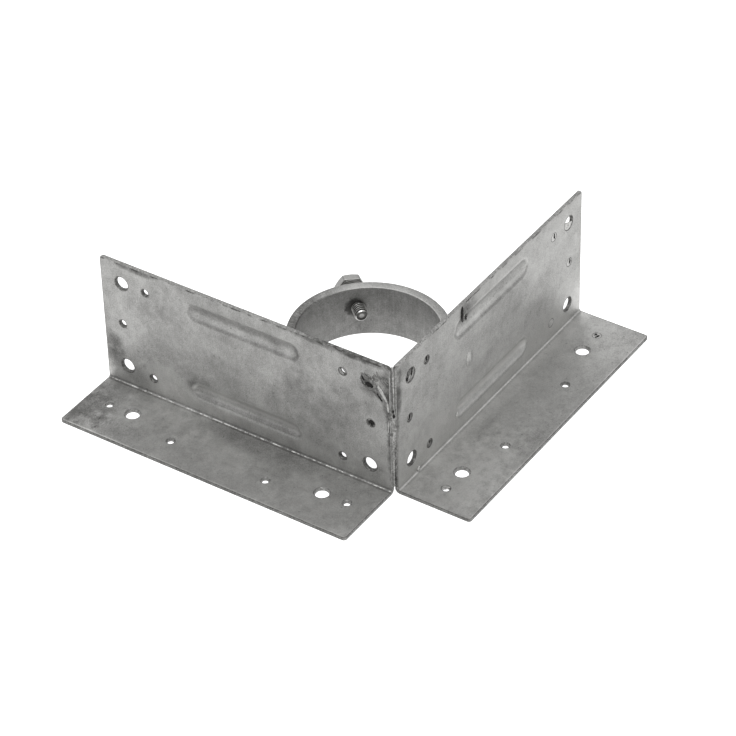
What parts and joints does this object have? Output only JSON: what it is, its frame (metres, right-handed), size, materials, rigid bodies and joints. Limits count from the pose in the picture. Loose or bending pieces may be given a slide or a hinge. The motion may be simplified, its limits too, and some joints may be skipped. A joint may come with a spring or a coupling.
{
  "type": "fence post adapter",
  "caption": "Galvanised corner bracket: flanged angle plates joined at a right angle, with a round post ring and set bolt in the inner corner.",
  "frame": {"origin": "on the post's axis, halfway up the ring", "axes": "+Z along the post, up; the right plate runs along +X and the left plate along +Y, with their flanges towards -Y and -X"},
  "size_m": [0.1907, 0.1907, 0.0688],
  "materials": {
    "galvanised_sheet": "dull hot-dip zinc, mottled and sooty by the welds",
    "galvanised_tube": "dull zinc over a sawn tube",
    "plated_bolt": "zinc plated, bright on the thread",
    "weld_metal": "zinc-coated weld bead"
  },
  "bodies": {
    "bracket": {"left_angle_plate": "galvanised_sheet", "right_angle_plate": "galvanised_sheet", "post_ring": "galvanised_tube", "corner_weld": "weld_metal", "ring_weld_left": "weld_metal", "ring_weld_right": "weld_metal"},
    "bolt": {"set_bolt": "plated_bolt"}
  },
  "joints": [
    {"name": "set_bolt_travel", "type": "slide", "parent": "bracket", "child": "bolt", "axis": [-0.6704, -0.742, 0], "range_m": [-0.0065, 0.008]}
  ]
}
